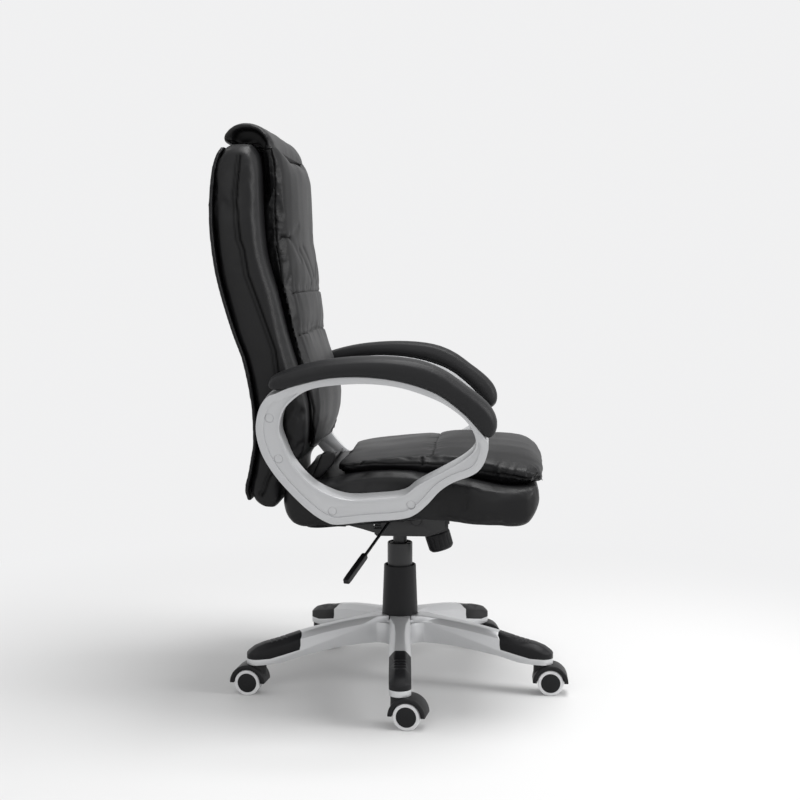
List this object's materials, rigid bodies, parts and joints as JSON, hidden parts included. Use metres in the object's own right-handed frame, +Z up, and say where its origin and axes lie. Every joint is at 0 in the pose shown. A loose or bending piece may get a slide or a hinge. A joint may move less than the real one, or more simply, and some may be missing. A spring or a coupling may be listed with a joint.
{
  "type": "office chair",
  "caption": "High-backed office chair in black leather on a five-star base with twin-wheel casters, closed silver arm loops, gas lift and sprung tilt.",
  "frame": {"origin": "on the floor under the column's axis", "axes": "+Z up, the chair faces -Y, the sitter's left is +X"},
  "size_m": [0.6452, 0.6609, 1.0921],
  "materials": {
    "base_silver": "satin silver paint on a cast base",
    "black_plastic": "fine moulded grain",
    "black_steel": "black powder coat",
    "pale_plastic": "plain",
    "steel": "zinc plated",
    "plywood": "bare",
    "black_leather": "soft grained coated leather",
    "arm_silver": "satin silver paint",
    "pad_black": "soft polyurethane skin",
    "wheel_nylon": "black discs with pale grey treads"
  },
  "bodies": {
    "base": {"star_base": "base_silver", "foot_caps": "black_plastic", "column_cover": "black_plastic", "gas_tube": "black_steel", "guide_bush": "pale_plastic"},
    "swivel": {"piston_rod": "steel", "thrust_bearing": "steel", "retaining_clip": "steel"},
    "lift": {"gas_cylinder": "black_steel", "mechanism_housing": "black_steel", "tilt_pin": "steel", "tension_spring": "steel"},
    "release": {"release_pin": "steel"},
    "tilt_lock": {"lock_plate": "steel"},
    "lever": {"lever_rod": "black_steel", "lever_grip": "black_plastic"},
    "tension": {"tension_knob": "black_plastic", "tension_bolt": "steel"},
    "seat": {"seat_plate": "black_steel", "tilt_bushes": "pale_plastic", "plate_bolts": "steel", "seat_board": "plywood", "seat_cushion": "black_leather", "seat_pillow": "black_leather", "back_board": "plywood", "back_cushion": "black_leather", "back_pillow": "black_leather", "head_crown": "black_leather", "rear_cover": "black_leather", "back_flap": "black_leather", "arm_frame_left": "arm_silver", "arm_frame_right": "arm_silver", "arm_pad_left": "pad_black", "arm_pad_right": "pad_black", "arm_bolts": "steel", "bolt_plugs": "arm_silver"},
    "caster_1": {"caster_hood_1": "black_plastic", "caster_pins_1": "steel"},
    "wheel_a_1": {"wheel_outer_1": "wheel_nylon"},
    "wheel_b_1": {"wheel_inner_1": "wheel_nylon"},
    "caster_2": {"caster_hood_2": "black_plastic", "caster_pins_2": "steel"},
    "wheel_a_2": {"wheel_outer_2": "wheel_nylon"},
    "wheel_b_2": {"wheel_inner_2": "wheel_nylon"},
    "caster_3": {"caster_hood_3": "black_plastic", "caster_pins_3": "steel"},
    "wheel_a_3": {"wheel_outer_3": "wheel_nylon"},
    "wheel_b_3": {"wheel_inner_3": "wheel_nylon"},
    "caster_4": {"caster_hood_4": "black_plastic", "caster_pins_4": "steel"},
    "wheel_a_4": {"wheel_outer_4": "wheel_nylon"},
    "wheel_b_4": {"wheel_inner_4": "wheel_nylon"},
    "caster_5": {"caster_hood_5": "black_plastic", "caster_pins_5": "steel"},
    "wheel_a_5": {"wheel_outer_5": "wheel_nylon"},
    "wheel_b_5": {"wheel_inner_5": "wheel_nylon"}
  },
  "joints": [
    {"name": "seat_swivel", "type": "hinge", "parent": "base", "child": "swivel", "pos_m": [0, 0, 0.083], "axis": [0, 0, 1], "continuous": true},
    {"name": "seat_lift", "type": "slide", "parent": "swivel", "child": "lift", "axis": [0, 0, 1], "range_m": [0, 0.1]},
    {"name": "seat_tilt", "type": "hinge", "parent": "lift", "child": "seat", "pos_m": [0, -0.035, 0.335], "axis": [-1, 0, 0], "range_deg": [0, 12], "stiffness_Nm_per_rad": 60, "springref_deg": -28.65, "deforming": ["tension_spring"]},
    {"name": "lock_slide", "type": "slide", "parent": "lift", "child": "tilt_lock", "axis": [-1, 0, 0], "range_m": [0, 0.012]},
    {"name": "height_lever", "type": "hinge", "parent": "tilt_lock", "child": "lever", "pos_m": [0, 0.014, 0.337], "axis": [1, 0, 0], "range_deg": [0, 12], "stiffness_Nm_per_rad": 0.6, "springref_deg": -22.92},
    {"name": "release_press", "type": "slide", "parent": "lift", "child": "release", "axis": [0, 0, -1], "range_m": [0, 0.003], "stiffness_N_per_m": 0.05, "springref_m": -0.2225},
    {"name": "tension_turn", "type": "hinge", "parent": "seat", "child": "tension", "pos_m": [0, -0.074, 0.302], "axis": [0, -0.2924, -0.9563], "range_deg": [-720, 720]},
    {"name": "caster_1_swivel", "type": "hinge", "parent": "base", "child": "caster_1", "pos_m": [-0.29175, -0.02091, 0.06], "axis": [0, 0, 1], "continuous": true},
    {"name": "wheel_outer_1_roll", "type": "hinge", "parent": "caster_1", "child": "wheel_a_1", "pos_m": [-0.29391, -0.03626, 0.025], "axis": [0.9903, -0.1392, 0], "continuous": true},
    {"name": "wheel_inner_1_roll", "type": "hinge", "parent": "caster_1", "child": "wheel_b_1", "pos_m": [-0.29391, -0.03626, 0.025], "axis": [0.9903, -0.1392, 0], "continuous": true},
    {"name": "caster_2_swivel", "type": "hinge", "parent": "base", "child": "caster_2", "pos_m": [-0.07027, -0.28393, 0.06], "axis": [0, 0, 1], "continuous": true},
    {"name": "wheel_outer_2_roll", "type": "hinge", "parent": "caster_2", "child": "wheel_a_2", "pos_m": [-0.07027, -0.29944, 0.025], "axis": [1, 0, 0], "continuous": true},
    {"name": "wheel_inner_2_roll", "type": "hinge", "parent": "caster_2", "child": "wheel_b_2", "pos_m": [-0.07027, -0.29944, 0.025], "axis": [1, 0, 0], "continuous": true},
    {"name": "caster_3_swivel", "type": "hinge", "parent": "base", "child": "caster_3", "pos_m": [0.24832, -0.15457, 0.06], "axis": [0, 0, 1], "continuous": true},
    {"name": "wheel_outer_3_roll", "type": "hinge", "parent": "caster_3", "child": "wheel_a_3", "pos_m": [0.25048, -0.16992, 0.025], "axis": [0.9903, 0.1392, 0], "continuous": true},
    {"name": "wheel_inner_3_roll", "type": "hinge", "parent": "caster_3", "child": "wheel_b_3", "pos_m": [0.25048, -0.16992, 0.025], "axis": [0.9903, 0.1392, 0], "continuous": true},
    {"name": "caster_4_swivel", "type": "hinge", "parent": "base", "child": "caster_4", "pos_m": [0.22374, 0.18841, 0.06], "axis": [0, 0, 1], "continuous": true},
    {"name": "wheel_outer_4_roll", "type": "hinge", "parent": "caster_4", "child": "wheel_a_4", "pos_m": [0.22266, 0.17294, 0.025], "axis": [0.9976, -0.0698, 0], "continuous": true},
    {"name": "wheel_inner_4_roll", "type": "hinge", "parent": "caster_4", "child": "wheel_b_4", "pos_m": [0.22266, 0.17294, 0.025], "axis": [0.9976, -0.0698, 0], "continuous": true},
    {"name": "caster_5_swivel", "type": "hinge", "parent": "base", "child": "caster_5", "pos_m": [-0.11005, 0.27101, 0.06], "axis": [0, 0, 1], "continuous": true},
    {"name": "wheel_outer_5_roll", "type": "hinge", "parent": "caster_5", "child": "wheel_a_5", "pos_m": [-0.10842, 0.28642, 0.025], "axis": [-0.9945, 0.1045, 0], "continuous": true},
    {"name": "wheel_inner_5_roll", "type": "hinge", "parent": "caster_5", "child": "wheel_b_5", "pos_m": [-0.10842, 0.28642, 0.025], "axis": [-0.9945, 0.1045, 0], "continuous": true}
  ],
  "couplings": [
    {"joint": "release_press", "follows": "height_lever", "m_per_rad": 0.014}
  ]
}
